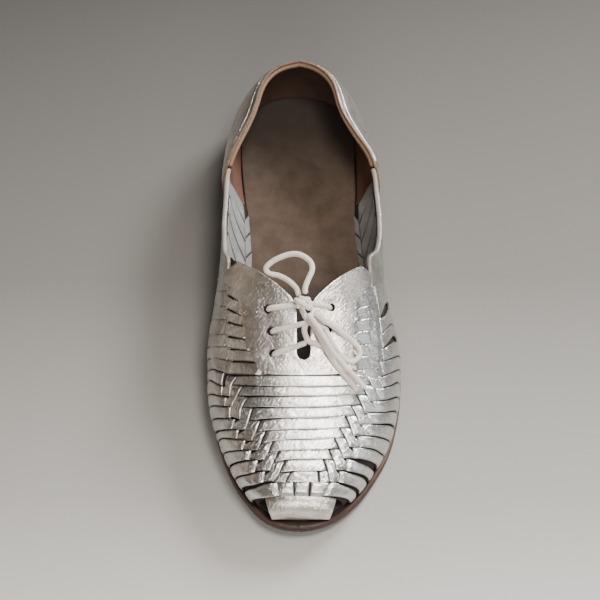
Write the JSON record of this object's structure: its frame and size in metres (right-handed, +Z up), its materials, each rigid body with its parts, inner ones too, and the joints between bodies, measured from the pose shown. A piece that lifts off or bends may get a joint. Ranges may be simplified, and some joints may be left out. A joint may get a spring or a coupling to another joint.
{
  "type": "lace-up shoe",
  "caption": "Low woven leather lace-up shoe for the left foot, standing empty: open throat tied with a cord bow, smooth heel counter, toe vents, leather sole edge and low stacked heel.",
  "frame": {"origin": "on the floor, under the middle of the shoe's bounding box", "axes": "+Y towards the heel, the toe at -Y; +Z up; -X is the inner (big toe) side"},
  "size_m": [0.0954, 0.2498, 0.0659],
  "materials": {
    "silver_leather": "crinkled silver foil over leather, satin to glossy",
    "edge_leather": "waxed reddish-brown edge",
    "footbed_leather": "matte taupe-brown, lightly worn",
    "heel_stack": "stacked leather, matte",
    "sole_rubber": "matte",
    "lace_cord": "matte cream cotton"
  },
  "bodies": {
    "root": {"outsole": "sole_rubber", "heel": "heel_stack", "midsole": "edge_leather", "insole": "footbed_leather", "upper": "silver_leather", "heel_counter": "silver_leather", "lace_bars": "lace_cord", "lace_knot": "lace_cord", "lace_loop_up": "lace_cord", "lace_loop_low": "lace_cord", "lace_end_a": "lace_cord", "lace_end_b": "lace_cord"}
  },
  "joints": []
}
